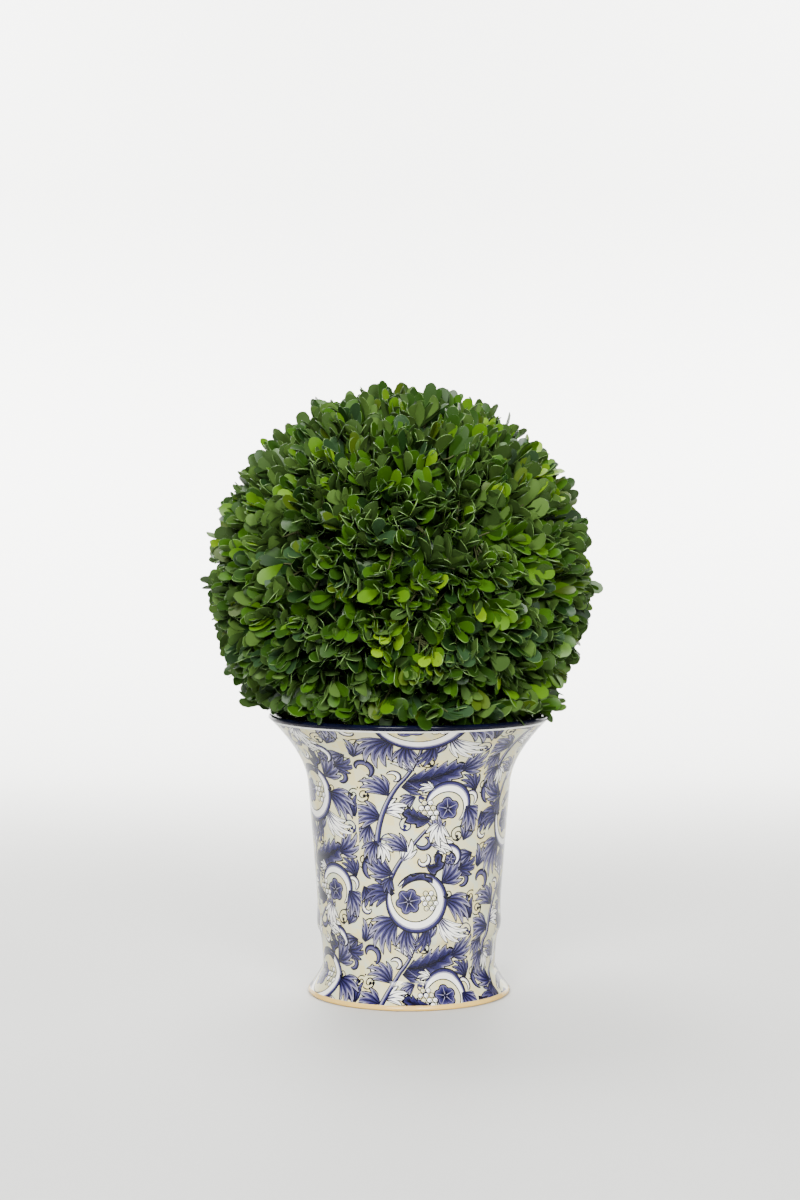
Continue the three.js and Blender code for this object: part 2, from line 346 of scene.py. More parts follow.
class ScrollPrint:
    """Outlines with a tone each, drawn in order, later ones on top."""

    def __init__(self):
        self.shapes = []

    def add(self, outline, tone):
        """Puts one more outline on top."""
        self.shapes.append((outline, tone))

    def line(self, points, wide, narrow, tone=INK):
        """A tapering stroke through the points."""
        path = np.array(points, float)
        half = np.linspace(wide, narrow, len(path)) / 2
        self.add(ribbon(path, half, half), tone)

    def leaf(self, path, width, lobes=4, tones=BLUES, side=0):
        """A long toothed leaf along a spine, pale at its edge and deep at its midrib, with dark veins."""
        path = resampled(path, 6 * lobes + 2)
        count = len(path)
        self.add(lobed(path, width, lobes, 1, 0, side), INK)
        for share, tone in tones:
            inset = INK_LINE if share == 1 else INK_LINE * 0.6
            self.add(lobed(path, width, lobes, share, inset, side), tone)
        self.line(path[:int(count * 0.85)], 0.7, 0.4)
        along, normal = sides_of(path)
        for lobe in range(lobes):
            k = min(int((lobe + LOBE_CREST) / lobes * (count - 1)), count - 1)
            root = path[max(k - 3, 0)]
            reach = 0.74 * width * (0.25 + math.sin(math.pi * (k / (count - 1)) ** 0.7) ** 0.7) / 1.25
            for way in (1, -1):
                if side != -way:
                    tip = path[k] + (normal[k] * way + along[k] * LOBE_LEAN) * reach
                    self.line([root, (root + tip) / 2, tip], 0.5, 0.2)

    def fan(self, base, aim, size, lobes=5, spread=62, curl=0.0, tones=BLUES):
        """A leaf fanned out from its base. With p from -1 to 1 across it and s from 0 at a lobe's point to 1
        in a notch: r = size (1 - 0.4 |p|^1.6) (1 - 0.32 s^1.5), at the angle
        aim + spread p + curl (r / size)^2."""
        base = np.array(base, float)

        def outline(share, inset):
            p = np.linspace(-1, 1, lobes * (6 if share > 0.8 else 4) + 1)
            s = np.abs(2 * ((p + 1) / 2 * lobes % 1) - 1)
            s[-1] = 1
            outer = size * (1 - 0.40 * np.abs(p) ** 1.6) * (1 - 0.32 * s ** 1.5)
            r = (outer * share - inset * (1.3 + 2.2 * s)).clip(0.2)
            a = np.radians(aim + spread * p * (1 - 0.9 * inset / size) + curl * (r / size) ** 2)
            start = base + inset * np.array([math.cos(math.radians(aim)), math.sin(math.radians(aim))])
            return np.concatenate([[start], base + r[:, None] * np.stack([np.cos(a), np.sin(a)], 1)])

        self.add(outline(1, 0), INK)
        for share, tone in tones:
            self.add(outline(share, INK_LINE), tone)
        for lobe in range(lobes):
            q = -1 + 2 * (lobe + 0.5) / lobes
            r = size * (1 - 0.40 * abs(q) ** 1.6) * np.array([0.12, 0.4, 0.62, 0.82])
            a = np.radians(aim + spread * q + curl * (r / size) ** 2)
            self.line(base + r[:, None] * np.stack([np.cos(a), np.sin(a)], 1), 0.6, 0.2)

    def stem(self, path, wide, narrow):
        """A tapering stem, light along one side and deep along the other."""
        half = np.linspace(wide, narrow, len(path)) / 2
        inner = (half - INK_LINE * 0.8).clip(0.05)
        for left, right, tone in ((half, half, INK), (inner, inner, MID), (inner, -inner * 0.1, LILAC),
                                  (-inner * 0.45, inner, COBALT)):
            self.add(ribbon(path, left, right), tone)

    def band(self, path, wide, narrow, outside=1, tones=RIBBON):
        """A broad curled band, widest a little before its middle, with three deeper shades along one side."""
        t = np.linspace(0, 1, len(path))
        half = (narrow + (wide - narrow) * np.sin(math.pi * t ** 0.8) ** 0.8) / 2
        self.add(ribbon(path, half, half), INK)
        inner = (half - INK_LINE).clip(0.05)
        for reach, tone in zip((-1, 0.15, 0.45, 0.75), tones):
            low, high = (inner, -inner * reach) if outside > 0 else (-inner * reach, inner)
            self.add(ribbon(path, low, high), tone)

    def tendril(self, path, wide=1.0, knob=1.2, tone=INK):
        """A thin curl that ends in a small knob."""
        self.line(path, wide, wide * 0.6, tone)
        self.disc(path[-1], knob, tone)

    def disc(self, centre, radius, tone, count=9):
        """A round spot with count corners."""
        a = np.linspace(0, TAU, count, endpoint=False)
        self.add(np.array(centre) + radius * np.stack([np.cos(a), np.sin(a)], 1), tone)

    def berries(self, centre, rows, radius=1.9):
        """Berries packed in rows like a honeycomb: how many in each row, and the row's shift in berries."""
        for row, (count, shift) in enumerate(rows):
            for k in range(count):
                x = centre[0] + (k - (count - 1) / 2 + shift) * radius * 1.9
                y = centre[1] - row * radius * 1.68
                self.disc((x, y), radius, INK, 10)
                self.disc((x, y), radius - 0.5, WHITE_AND_LIP_HIGHLIGHT if (k + row) % 3 else CREAM, 9)
                self.disc((x + radius * 0.25, y - radius * 0.25), radius * 0.28, LILAC, 5)

    def flower(self, centre, radius, petals=5, turn=0.0):
        """A round flower, r = R (0.7 + 0.3 |cos(n a / 2)|^0.6), deeper to its heart, with dark and light
        rays."""
        centre = np.array(centre)
        a = np.linspace(0, TAU, 8 * petals, endpoint=False)
        wave = 0.70 + 0.30 * np.abs(np.cos(petals * (a - turn) / 2)) ** 0.6
        for share, inset, tone in ((1, 0, INK), (1, INK_LINE, PERIWINKLE), (0.82, 0.4, MID),
                                   (0.64, 0.3, COBALT), (0.42, 0.2, INDIGO)):
            r = (radius * share * wave - inset).clip(0.2)
            self.add(centre + np.stack([r * np.cos(a), r * np.sin(a)], 1), tone)
        for k in range(petals):
            for shift, reach, tone in ((0.5, 0.74, INK), (0.0, 0.82, LILAC)):
                b = turn + TAU * (k + shift) / petals
                out = radius * np.array([math.cos(b), math.sin(b)])
                self.line([centre + out * 0.12, centre + out * reach], 0.5, 0.15, tone)


# Thin curls that fill the ground: centre, radius, start and sweep, in mm and degrees, and tone.
CURLS = (
    ((6, 58), 4.2, 200, 400, INK), ((71, 55), 4.0, 30, -400, COBALT), ((42, 45), 3.8, 250, 390, INK),
    ((72, 97), 4.0, 150, 400, INK), ((20, 113), 4.0, 40, -380, COBALT), ((4, 22), 4.0, 300, 400, INK),
    ((72, 4), 3.8, 120, -400, INK), ((30, 4), 3.8, 200, 380, COBALT), ((62, 116), 3.8, 220, 390, INK),
    ((74, 76), 3.4, 160, 380, INK), ((3, 100), 3.6, 30, 380, INK), ((40, 20), 3.0, 90, 380, COBALT),
)

# Small hooked bands between them, in the same way, each with its four shades.
HOOKS = (
    ((8, 32), 5.0, 20, -260, PALE_HOOK), ((41, 113), 5.4, 200, 250, HOOK),
    ((40, 101), 4.6, 60, -270, PALE_HOOK), ((70, 20), 5.0, 300, 260, PALE_HOOK),
    ((23, 34), 4.4, 150, -250, PALE_HOOK), ((67, 88), 4.6, 240, 250, HOOK),
    ((5, 70), 4.6, 90, 260, PALE_HOOK), ((44, 30), 4.2, 330, 240, HOOK),
)


def scroll_repeat():
    """One repeat of the print, PANEL wide and REPEAT high, from its own foot up, as outlines with their tones
    and as the edges that show."""
    p = ScrollPrint()
    for centre, radius, start, sweep, tone in CURLS:
        p.tendril(spiral(centre, radius, start, sweep, 1.0, 22), tone=tone)
        p.tendril(spiral(centre, radius * 1.5, start + 180, sweep * 0.6, radius * 0.8, 16), tone=tone)
    for centre, radius, start, sweep, tones in HOOKS:
        path = spiral(centre, radius, start, sweep, radius * 0.4, 16)
        p.band(path, 3.8, 0.9, 1 if sweep < 0 else -1, tones)

    # leaves that show between the others
    p.fan((2, 48), 75, 16, 5, 50, 20)
    p.fan((75, 62), 120, 16, 5, 50, -20, DEEPS)
    p.fan((44, 50), 80, 15, 4, 44, 20)
    p.fan((74, 104), 200, 17, 5, 48, 20)
    p.fan((2, 84), -60, 15, 4, 46, -20, DEEPS)
    p.fan((36, 22), 200, 13, 4, 44, 20)
    p.fan((74, 24), 110, 16, 5, 46, 24, DEEPS)
    p.fan((8, 4), -120, 16, 5, 50, 20)
    p.fan((66, 112), 60, 14, 4, 44, 20)

    # a stem with paired leaves, and a hooded band over a flower
    p.fan((15, 8), 158, 21, 5, 50, 26)
    p.fan((16, 12), 28, 17, 4, 46, -28, PALES)
    p.fan((20, 22), 122, 21, 5, 44, 34)
    p.band(spiral((5, 40), 7, -60, 250, 3, 20), 4.5, 0.8, -1, HOOK)
    p.stem(bend((12, -10), (13, 12), (26, 30)), 4.0, 3.0)
    p.stem(bend((26, 30), (36, 40), (38, 58)), 3.0, 1.8)
    p.fan((12, -6), -128, 17, 5, 46, 26)
    p.fan((13, -7), -52, 15, 4, 44, -24, PALES)
    p.fan((27, 28), 2, 18, 5, 46, 24, DEEPS)
    p.fan((32, 38), 100, 17, 5, 42, 30, PALES)
    p.leaf(bend((30, 32), (46, 31), (64, 43)), 11, 5)
    p.fan((61, 39), 18, 20, 5, 52, 26)
    p.band(spiral((56, 15), 14, 172, -225, 11, 26), 7.6, 1.2, 1)
    p.fan((67, 15), -48, 19, 5, 54, -24)
    p.fan((47, 26), 150, 11, 4, 44, 24, PALES)
    p.flower((55, 14), 7.6, 5, 0.4)
    p.berries((42.5, 18), ((2, 0), (3, 0), (4, 0), (3, 0)))
    p.fan((51, 6), -112, 17, 5, 54, 24, PALES)
    p.leaf(bend((45, 8), (36, 6), (29, 14)), 6.5, 3, DEEPS)

    # the ring scroll round the main flower
    p.fan((25, 64), 212, 27, 6, 48, 28)
    p.fan((31, 60), 258, 22, 5, 38, 22)
    p.fan((23, 80), 168, 22, 5, 44, 28, DEEPS)
    p.fan((52, 86), 32, 22, 5, 48, 24)
    p.fan((54, 76), -14, 25, 5, 40, -26)
    p.fan((50, 66), -58, 28, 5, 30, 28, PALES)
    p.fan((43, 60), -92, 20, 4, 28, -20, DEEPS)
    p.band(spiral((37, 76), 18.5, 160, 345, 14.5, 40), 8.0, 1.8, -1)
    p.flower((31.5, 75), 8.6, 6, 0.2)
    p.berries((44, 80), ((2, 0), (3, 0), (3, 0.4), (2, 0.2)))
    p.leaf(bend((27, 83), (36, 92), (47, 86)), 5.5, 3, DEEPS, 1)
    p.tendril(spiral((57, 79), 3.2, 200, 380, 1.0, 20), 1.0, 1.3)

    # fronds over the ring
    p.band(spiral((10, 96), 8, 250, -260, 3, 22), 5.0, 0.8, 1, HOOK)
    p.stem(bend((20, 88), (24, 100), (42, 120)), 3.4, 2.2)
    p.fan((22, 92), 165, 22, 5, 44, -30)
    p.fan((21, 91), 238, 13, 4, 42, 20, DEEPS)
    p.fan((27, 100), 56, 17, 4, 42, 24, PALES)
    p.fan((31, 106), 132, 19, 5, 40, 24)
    p.band(spiral((58, 101), 9.5, 205, -265, 4, 24), 6.0, 1.0, 1)
    p.leaf(bend((42, 98), (50, 92), (50, 106)), 5.5, 3, DEEPS)
    p.fan((45, 110), 14, 16, 4, 44, -24, PALES)
    p.fan((63, 95), -6, 17, 4, 44, 24, DEEPS)
    p.fan((48, 116), 78, 15, 4, 44, 20)
    p.flower((58, 101), 4.2, 5, 0.1)
    return p.shapes, seen_edges(p.shapes)


def inside_outline(outline, spots):
    """Even-odd test: a spot is inside where a ray to its right crosses the outline an odd number of times."""
    x0, y0 = outline[:, 0], outline[:, 1]
    x1, y1 = np.roll(x0, -1), np.roll(y0, -1)
    spans = (y0[None] > spots[:, 1:]) != (y1[None] > spots[:, 1:])
    rise = np.where(y1 == y0, 1, y1 - y0)
    cross = x0 + (spots[:, 1:] - y0) / rise * (x1 - x0)
    return (spans & (spots[:, :1] < cross)).sum(1) % 2 == 1


def seen_edges(shapes):
    """Each outline's edges as starts and ends, without those that lie under a later outline."""
    edges = []
    for number, (outline, _) in enumerate(shapes):
        starts, ends = outline, np.roll(outline, -1, axis=0)
        seen = np.ones(len(starts), bool)
        for over, _ in shapes[number + 1:]:
            apart = (over.max(0) < outline.min(0)) | (over.min(0) > outline.max(0))
            if not apart.any():
                seen &= ~(inside_outline(over, starts) & inside_outline(over, ends)
                          & inside_outline(over, (starts + ends) / 2))
        edges.append((starts[seen], ends[seen]))
    return edges


def clipped_edges(a, b, low, high):
    """Edges from a to b cut to a box: each keeps the part from t0 to t1 that lies between low and high."""
    step = b - a
    safe = np.where(np.abs(step) < 1e-9, 1e-9, step)
    t_low, t_high = (low - a) / safe, (high - a) / safe
    t0 = np.minimum(t_low, t_high).max(1).clip(0)
    t1 = np.maximum(t_low, t_high).min(1).clip(None, 1)
    keep = (t1 - t0) * np.linalg.norm(step, axis=1) > SHORTEST_EDGE
    return (a + step * t0[:, None])[keep], (a + step * t1[:, None])[keep]


def printed_panel(shapes, edges_seen, drop, columns, rows):
    """One sheet of print as flat triangles with a tone each: every outline becomes edges of the mesh."""
    width, height = columns[-1], rows[-1]
    low = np.array([PRINT_MARGIN, PRINT_MARGIN])
    high = np.array([width, height]) - PRINT_MARGIN
    spread = width / PANEL
    placed = []
    for lift in range(-1, int(height / REPEAT) + 3):
        for (outline, tone), (starts, ends) in zip(shapes, edges_seen):
            scale, shift = (spread, 1), (0, lift * REPEAT + drop)
            moved = outline * scale + shift
            if moved[:, 1].max() > 0 and moved[:, 1].min() < height:
                placed.append((moved, tone, starts * scale + shift, ends * scale + shift))
    points = [np.stack(np.meshgrid(columns, rows), -1).reshape(-1, 2)]
    edges = []
    count = len(points[0])
    for _, _, starts, ends in placed:
        starts, ends = clipped_edges(starts, ends, low, high)
        points += [starts, ends]
        order = np.arange(len(starts))
        edges.append(np.stack([count + order, count + len(starts) + order], 1))
        count += 2 * len(starts)
    flat = [Vector(p) for p in np.concatenate(points).tolist()]
    found = delaunay_2d_cdt(flat, np.concatenate(edges).tolist(), [], 0, MERGE_WITHIN, False)
    spots = np.array([tuple(p) for p in found[0]])
    faces = np.array(found[2])
    centres = spots[faces].mean(1)
    tones = ground_tones(centres + (0, drop))
    inner = np.all((centres > low) & (centres < high), axis=1)
    for outline, tone, _, _ in placed:
        near = inner & np.all((centres > outline.min(0)) & (centres < outline.max(0)), axis=1)
        which = np.flatnonzero(near)
        tones[which[inside_outline(outline, centres[which])]] = tone
    return spots, faces, tones


def ground_tones(spots):
    """The cream ground varies in patches 5 to 10 mm wide: the sum of two bent waves and a slanting one picks
    the tone."""
    x, y = spots[:, 0], spots[:, 1]
    wave = np.sin(x / 2.9 + 1.3 * np.sin(y / 4.1))
    wave += np.sin(y / 3.3 + 1.7 * np.sin(x / 5.3))
    wave += 0.7 * np.sin((x + y) / 1.7)
    return np.where(wave > 1.0, WARM, np.where(wave < -1.1, COOL, CREAM))


FOOT_BAND = 3.2          # mm of plain glaze above the table
LIP_BAND = 3.6           # mm below the rim where the navy band starts
LIP_HIGHLIGHT_BAND = 1.0          # mm of white glaze under the navy, painted there as the highlight along the lip's edge
NAVY_DEPTH = 9           # mm that the navy reaches past the rim's top, down the inside
PRINT_DROP = 46          # mm that each sheet's print lies above the one before
FIRST_DROP = -8          # mm, where the first sheet's print starts
ROW_STEP = 3             # mm between the rows of points up a sheet
COLUMNS_PER_PANEL = 20
RIGHT_PANELS = 3         # sheets in the right-hand piece, the others are in the left-hand one
FIRST_SEAM = math.radians(-30)


def turned_band(along, tone):
    """A plain band of the vase between the given lengths along the profile, all the way round."""
    columns = PANELS * COLUMNS_PER_PANEL + 1
    angle = FIRST_SEAM + np.linspace(0, TAU, columns)
    rows, angles = np.meshgrid(along, angle, indexing="ij")
    points, normals = turned(rows.ravel(), angles.ravel())
    faces = grid_faces(len(along), columns)
    return points, faces, np.full(len(faces), tone), normals


def joined_vase(parts):
    """Bands and panels as one surface: near points welded, and every triangle turned to face out of
    the clay."""
    shift = np.cumsum([0] + [len(part[0]) for part in parts])
    points = np.concatenate([part[0] for part in parts])
    faces = np.concatenate([part[1] + s for part, s in zip(parts, shift)])
    tones = np.concatenate([part[2] for part in parts])
    normals = np.concatenate([part[3] for part in parts])
    points, faces, tones, normals = welded(points, faces, tones, normals)
    a, b, c = (points[faces[:, k]] for k in range(3))
    turned_in = (np.cross(b - a, c - a) * normals[faces].sum(1)).sum(1) < 0
    faces[turned_in] = faces[turned_in][:, ::-1]
    return points, faces, tones, normals


def build_vase():
    """Plain bands, five printed panels, navy lip and glazed inside, as two surfaces that meet along two seams
    of the print: three panels, and the other two with all the plain parts."""
    print_start, print_end = run_at(FOOT_BAND), run_at(RIM_HEIGHT - LIP_BAND - LIP_HIGHLIGHT_BAND)
    navy_start = run_at(RIM_HEIGHT - LIP_BAND)
    navy_end = RUN[TOP_ROW] + NAVY_DEPTH
    edge_of_clay = FOOT_RADIUS - FOOT_EDGE
    foot_rows = RUN[(RUN > edge_of_clay) & (RUN < print_start)]
    lip_rows = RUN[(RUN > navy_start) & (RUN < navy_end)]
    inside_rows = RUN[RUN > navy_end]
    plain = [
        turned_band(RUN[RUN <= edge_of_clay + 1e-6], CLAY),
        turned_band(np.r_[edge_of_clay, foot_rows, print_start], STRAW),
        # a band of white glaze under the navy, painted as the highlight along the lip's edge
        turned_band(np.linspace(print_end, navy_start, 3), WHITE_AND_LIP_HIGHLIGHT),
        turned_band(np.r_[navy_start, lip_rows, navy_end], NAVY),
        turned_band(np.r_[navy_end, inside_rows], CREAM),
    ]
    shapes, edges_seen = scroll_repeat()
    rows = np.linspace(0, print_end - print_start, int((print_end - print_start) / ROW_STEP) + 1)
    columns = np.linspace(0, PANEL, COLUMNS_PER_PANEL + 1)
    panels = []
    for panel in range(PANELS):
        drop = (PRINT_DROP * panel + FIRST_DROP) % REPEAT - REPEAT
        spots, faces, tones = printed_panel(shapes, edges_seen, drop, columns, rows)
        angle = FIRST_SEAM + (panel + spots[:, 0] / PANEL) * TAU / PANELS
        points, normals = turned(print_start + spots[:, 1], angle)
        panels.append((points, faces, tones, normals))
    return joined_vase(panels[:RIGHT_PANELS]), joined_vase(panels[RIGHT_PANELS:] + plain)


# Glazed earthenware with a printed transfer under the glaze: a clear hard glaze over colour, so a sharp white
# reflection lies over every tone, with a faint ripple in the glaze.
VASE_COLOURS = {                # in the order of the print's tones
    "glaze_cream": "#c4bf98", "glaze_warm_cream": "#c8bd88", "glaze_cool_cream": "#bbbfa4",
    "glaze_white_and_lip_highlight": "#e4e3dd", "glaze_lilac": "#7d7a8e", "glaze_periwinkle": "#4b4868",
    "glaze_mid_blue": "#2b284d", "glaze_cobalt": "#1d1a3f", "glaze_indigo": "#0f0d25",
    "glaze_ink": "#07060c", "glaze_navy": "#060819", "glaze_straw": "#cfaa5a", "bare_clay": "#cdb894",
}
GLAZE_GLOSS = 0.24              # a thick glaze would have 0.5: this one is thin over the transfer,
LIP_GLOSS = 0.1                 # and thinner still where it runs off the lip
GLAZE_SKIN = (0.12, 9 * MM, 0.02 * MM)      # roughness, and the ripple's size and depth
CLAY_SKIN = (0.75, 0.8 * MM, 0.15 * MM)     # the same for the unglazed underside, which is matt and sandy


def vase_materials():
    """One material for each tone: the glazes, and the bare clay that the vase stands on."""
    made = []
    for name, colour in VASE_COLOURS.items():
        roughness, grain, depth = CLAY_SKIN if name == "bare_clay" else GLAZE_SKIN
        gloss = LIP_GLOSS if name == "glaze_navy" else GLAZE_GLOSS
        material = new_material(name, colour, roughness, Specular_IOR_Level=gloss)
        noise = object_noise(material, grain, 1)
        add_bump(material, noise.outputs["Fac"], 0.5, depth)
        made.append(material)
    return made


glazes = vase_materials()
for vase_name, surface in zip(("vase_right", "vase_left"), build_vase()):
    vase_points, vase_faces, vase_tones, vase_normals = surface
    vase = make_piece(vase_name, vase_points, vase_faces, glazes, vase_tones, vase_normals)
    place_piece(vase, "vase_glaze", "vase")


# ---- Stem, boughs and twigs ----------------------------------------------------------------------

def lengths(vectors):
    """The length of each vector, kept as a last axis of one."""
    return np.linalg.norm(vectors, axis=-1, keepdims=True)


def unit(vectors):
    """Each vector over its own length."""
    return vectors / (lengths(vectors) + 1e-12)


def even_directions(count, jitter, draw):
    """Directions spread evenly over a ball by a golden-angle spiral, each then moved a little at random."""
    k = np.arange(count) + 0.5
    level = 1 - 2 * k / count
    turn = math.pi * (3 - math.sqrt(5)) * k
    ring = np.sqrt(1 - level ** 2)
    even = np.stack([ring * np.cos(turn), ring * np.sin(turn), level], 1)
    return unit(even + jitter * draw.normal(size=(count, 3)))


def across(axes, draw):
    """Two unit vectors square to each axis and to each other, turned about it at random."""
    other = unit(np.cross(axes, unit(draw.normal(size=axes.shape))))
    return other, np.cross(axes, other)


SHELL_FROM = 0.93               # share of the radius beyond which the CAD solid's corners are its shell


def clipped_reach(directions):
    """How far the clipped outline lies from the ball's centre in each direction: the mean of the three nearest
    corners of the CAD solid's shell."""
    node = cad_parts["foliage_ball"].data
    corners = np.empty(len(node.vertices) * 3, np.float32)
    node.vertices.foreach_get("co", corners)
    rays = corners.reshape(-1, 3) - BALL_CENTRE
    rays = rays[lengths(rays)[:, 0] > SHELL_FROM * BALL_RADIUS]
    nearest = np.argsort(-(directions @ unit(rays).T), axis=1)[:, :3]
    return lengths(rays)[:, 0][nearest].mean(1)


def limb_lines(starts, start_ways, ends, end_ways, steps):
    """Cubic curve from each start to each end, leaving and arriving along the given ways, as steps points."""
    t = np.linspace(0, 1, steps)[None, :, None]
    third = lengths(ends - starts)[:, None] / 3
    a, d = starts[:, None], ends[:, None]
    b, c = a + start_ways[:, None] * third, d - end_ways[:, None] * third
    return a * (1 - t) ** 3 + 3 * b * t * (1 - t) ** 2 + 3 * c * t ** 2 * (1 - t) + d * t ** 3


def limb_tubes(lines, thick, thin, sides, draw, knobble=0.08):
    """Round tapering tubes along many lines at once, closed by a point at each end.
    Radius falls evenly from thick to thin, times 1 plus a little noise for the bark's knobbles."""
    count, steps, _ = lines.shape
    along = unit(np.gradient(lines, axis=1))
    first, _ = across(along[:, 0], draw)
    first = unit(first[:, None] - (first[:, None] * along).sum(-1, keepdims=True) * along)
    second = np.cross(along, first)
    turn = np.arange(sides) * TAU / sides
    share = np.linspace(0, 1, steps)
    radius = thick + (thin - thick) * share
    radius = radius[None, :, None] * (1 + knobble * draw.normal(size=(count, steps, sides)))
    ring = (first[:, :, None] * np.cos(turn)[None, None, :, None]
            + second[:, :, None] * np.sin(turn)[None, None, :, None])
    body = lines[:, :, None] + ring * radius[..., None]
    caps = np.stack([lines[:, 0] - along[:, 0] * thick * 0.5, lines[:, -1] + along[:, -1] * thin], 1)
    points = np.concatenate([body.reshape(count, -1, 3), caps], 1)
    corner = np.arange(steps * sides).reshape(steps, sides)
    a, b = corner[:-1], np.roll(corner[:-1], -1, axis=1)
    c, d = np.roll(corner[1:], -1, axis=1), corner[1:]
    low, high = np.full(sides, steps * sides), np.full(sides, steps * sides + 1)
    faces = np.concatenate([
        np.stack([a, b, c], -1).reshape(-1, 3), np.stack([a, c, d], -1).reshape(-1, 3),
        np.stack([low, np.roll(corner[0], -1), corner[0]], -1),
        np.stack([high, corner[-1], np.roll(corner[-1], -1)], -1),
    ])
    faces = faces[None] + np.arange(count)[:, None, None] * points.shape[1]
    return points.reshape(-1, 3), faces.reshape(-1, 3)


STEM_TAPER = (8.5, 6.2)         # mm, radius at the flat cut and below the fork
STEM_FLARE, FLARE_FALL = 6.5, 7.0    # mm, the root flare's width and the height over which it falls to a third
STEM_LEAN = 2.2                 # mm that its middle leans back
STEM_DOME = 0.04                # share of its height over which it closes at the top
BARK_SINK = 0.5                 # mm that the bark's mean surface lies inside the CAD stem


def build_stem():
    """Stem on a grid of turn and height: an even taper, plus a root flare of 6.5 exp(-h / 7) mm, plus long
    bark ridges that wander round it. It leans to the ball's axis as the CAD stem does and closes in a dome."""
    rows, columns = 90, 72
    base, top = stem_low.z / MM, stem_high.z / MM
    share = np.linspace(0, 1, rows)[:, None]
    turn = np.linspace(0, TAU, columns + 1)[None]
    height = base + (top - base) * share
    taper = STEM_TAPER[0] + (STEM_TAPER[1] - STEM_TAPER[0]) * share
    flare = STEM_FLARE * np.exp(-(height - base) / FLARE_FALL)
    wander = turn + 0.25 * np.sin(height / 9)
    ridges = 0.28 * np.sin(11 * wander + np.sin(height / 5)) + 0.18 * np.sin(23 * wander - height / 6)
    ridges += 0.16 * np.sin(height / 1.7 + 3 * np.sin(2 * turn))
    dome = np.sqrt(1 - ((share - 1 + STEM_DOME) / STEM_DOME).clip(0, 1) ** 2)
    radius = (taper + flare + ridges - BARK_SINK) * dome
    x = radius * np.sin(turn) + BALL_CENTRE[0] / MM * share
    y = -radius * np.cos(turn) + STEM_LEAN * np.sin(math.pi * share)
    z = height + 0 * turn
    body = np.stack([x, y, z], -1)
    foot = np.broadcast_to(np.array([0, 0, base]), (1, columns + 1, 3))
    return closed_surface(np.concatenate([foot, body]))


FILL_GAP = 1.2                  # mm between the moss and the glaze
MOSS_FOOT, MOSS_TOP = 0.6, 1.6  # mm that it stays inside the CAD plug below and above
MOSS_RINGS, MOSS_LEVELS, MOSS_COLUMNS = 21, 26, 96    # points across its ends, up its side and round it


def build_filling():
    """Dry moss packed in the vase, turned from the inside wall's radius less a gap: a little dented at the
    sides, and on top in lumps of 0.8 sin(a) sin(b) mm with a and b running across it in two directions."""
    low, high = fill_low.z / MM + MOSS_FOOT, fill_high.z / MM - MOSS_TOP
    wall = PROFILE[TOP_ROW:][::-1]
    levels = np.linspace(low, high, MOSS_LEVELS)
    radii = np.interp(levels, wall[:, 1], wall[:, 0]) - FILL_GAP
    shares = np.linspace(0, 1, MOSS_RINGS + 1)
    radius = np.r_[radii[0] * shares[:-1], radii, radii[-1] * shares[::-1][1:]][:, None]
    height = np.r_[np.full(MOSS_RINGS, low), levels, np.full(MOSS_RINGS, high)][:, None]
    turn = np.linspace(0, TAU, MOSS_COLUMNS + 1)[None]
    on_top = (np.arange(len(radius)) >= MOSS_RINGS + MOSS_LEVELS)[:, None]
    x, y = radius * np.sin(turn), -radius * np.cos(turn)
    lumps = np.sin(x / 2.1 + 1.4 * np.sin(y / 3.3)) * np.sin(y / 1.9 + 1.2 * np.sin(x / 2.7))
    dents = 0.35 * (np.sin(9 * turn + height / 3) * np.sin(height / 2.3 + 2 * np.sin(4 * turn)) - 1)
    shrink = 1 + np.where(on_top | (radius < 1), 0, dents / np.maximum(radius, 1))
    return closed_surface(np.stack([x * shrink, y * shrink, height + 0.8 * lumps * on_top], -1))


SHOOTS = 1300
LIP_SHOOTS = 64
LEVELS = (                      # boughs, branches, twigs: how many, and how far out each ends
    (10, 0.40),
    (48, 0.64),
    (270, 0.80),
)
LIMB_RADII = ((4.2, 2.6), (2.4, 1.5), (1.3, 0.8), (0.75, 0.45))    # mm, thick and thin end
LIMB_STEPS = (9, 7, 5, 4)
LIMB_SIDES = (10, 7, 5, 4)
LIMB_JITTER, SHOOT_JITTER = 0.16, 0.10     # how unevenly boughs and shoots are spread
LIMB_WANDER, SHOOT_WANDER = 0.25, 0.21     # how far their ends turn from straight outwards
LOWEST_SLOPE = -0.78                       # none ends further down than this, as the sine of its slope
SHOOT_DEPTH, DEPTH_SPAN = 18.0, 7.0        # mm that shoots end inside the outline, and how much deeper some do


def grow_limbs():
    """Each level's limbs start at the end of the nearest limb of the level before and run on outwards,
    from the stem's fork to the shoots. Returns the tubes by level and the shoots' ends and directions."""
    draw = np.random.default_rng(SEED)
    fork = np.array([[BALL_CENTRE[0], 0.0, stem_high.z - 2 * MM]])
    ends, ways = fork, np.array([[0.0, 0.0, 1.0]])
    tubes = []
    for level, (count, share) in enumerate(LEVELS + ((SHOOTS, 1.0),)):
        shoots = level == len(LEVELS)
        towards = even_directions(count, SHOOT_JITTER if shoots else LIMB_JITTER / (level + 1), draw)
        towards = towards[towards[:, 2] > LOWEST_SLOPE]
        reach = clipped_reach(towards)
        if shoots:
            depth = SHOOT_DEPTH + DEPTH_SPAN * draw.random(len(towards)) ** 2
            arrive = unit(towards + SHOOT_WANDER * draw.normal(size=towards.shape))
            spots = BALL_CENTRE + towards * (reach - depth * MM)[:, None]
        else:
            spots = BALL_CENTRE + towards * (share * reach)[:, None]
            arrive = unit(towards + LIMB_WANDER * draw.normal(size=towards.shape))
        gap = ((spots[:, None] - ends[None]) ** 2).sum(-1)
        parent = gap.argmin(1)
        leave = unit(ways[parent] + 1.2 * unit(spots - ends[parent]))
        lines = limb_lines(ends[parent], leave, spots, arrive, LIMB_STEPS[level])
        thick, thin = (r * MM for r in LIMB_RADII[level])
        tubes.append(limb_tubes(lines, thick, thin, LIMB_SIDES[level], draw))
        ends, ways = spots, arrive
    return tubes, ends, ways


